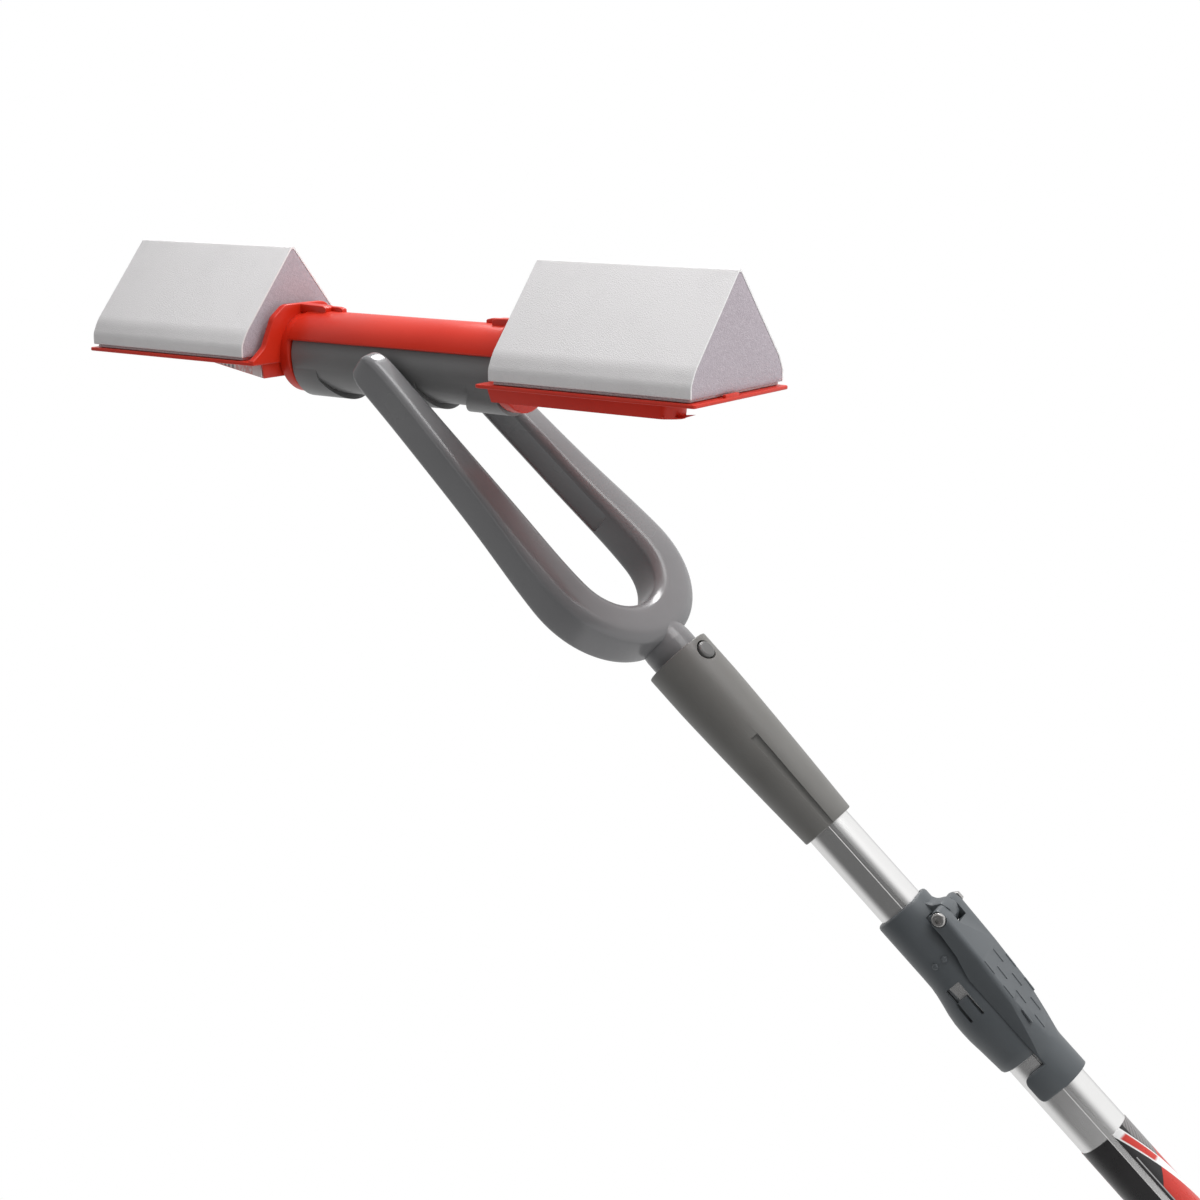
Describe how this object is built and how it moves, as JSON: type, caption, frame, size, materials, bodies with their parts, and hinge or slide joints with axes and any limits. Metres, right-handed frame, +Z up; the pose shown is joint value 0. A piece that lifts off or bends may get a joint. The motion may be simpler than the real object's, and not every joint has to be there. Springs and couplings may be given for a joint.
{
  "type": "inside-corner pole sander",
  "caption": "Drywall pole sander for inside corners: two prism sanding blocks on a swivelling red head, U-shaped grey fork and telescopic aluminium pole with a flip-lever clamp",
  "frame": {"origin": "centre of the flat butt end of the pole", "axes": "+Z runs up the pole towards the head, X is the head's pivot pin with the rear prong at +X, and the lower block leans to -Y"},
  "size_m": [0.0912, 0.3012, 1.0831],
  "materials": {
    "red_plastic": "semi-gloss moulded orange-red plastic",
    "grey_plastic": "satin moulded grey plastic",
    "dark_plastic": "satin dark grey plastic",
    "aluminium": "satin drawn tube",
    "steel": "plated steel",
    "grip_rubber": "matt foam rubber",
    "abrasive": "light grey stearated abrasive sheet",
    "foam": "fine speckled open-cell foam",
    "hook_pad": "hook-and-loop pad",
    "label_print": "printed film",
    "nylon": "natural nylon"
  },
  "bodies": {
    "handle": {"end_cap": "dark_plastic", "hand_grip": "grip_rubber", "outer_tube": "aluminium", "pole_label": "label_print", "clamp_sleeve": "dark_plastic", "brake_shoe": "dark_plastic", "lever_pin": "steel", "pin_nut": "steel"},
    "lever": {"clamp_lever": "dark_plastic"},
    "mast": {"inner_tube": "aluminium", "inner_end_bush": "nylon", "adapter": "grey_plastic", "fork": "grey_plastic", "button_spring": "steel", "cross_pin": "steel", "pin_cap_rear": "grey_plastic"},
    "button": {"lock_button": "dark_plastic"},
    "barrel": {"swivel_barrel": "grey_plastic"},
    "head": {"head_frame": "red_plastic", "barrel_bush_left": "nylon", "barrel_bush_right": "nylon", "left_hook_pad": "hook_pad", "right_hook_pad": "hook_pad", "left_foam_wedge": "foam", "right_foam_wedge": "foam", "left_abrasive": "abrasive", "right_abrasive": "abrasive", "plate_label": "label_print"}
  },
  "joints": [
    {"name": "pole_extension", "type": "slide", "parent": "handle", "child": "mast", "axis": [0, 0, 1], "range_m": [-0.04, 0.37]},
    {"name": "clamp_lever_turn", "type": "hinge", "parent": "handle", "child": "lever", "pos_m": [0.00353, -0.01663, 0.557], "axis": [0.9781, 0.2079, 0], "range_deg": [-100, 0]},
    {"name": "lock_button_press", "type": "slide", "parent": "mast", "child": "button", "axis": [0, 1, 0], "range_m": [0, 0.005], "stiffness_N_per_m": 800, "deforming": ["button_spring"]},
    {"name": "head_tilt", "type": "hinge", "parent": "mast", "child": "barrel", "pos_m": [0, 0, 0.917], "axis": [1, 0, 0], "range_deg": [-107, 16]},
    {"name": "head_roll", "type": "hinge", "parent": "barrel", "child": "head", "pos_m": [0, 0, 0.917], "axis": [0, -0.6978, -0.7163], "range_deg": [-1, 22]}
  ]
}
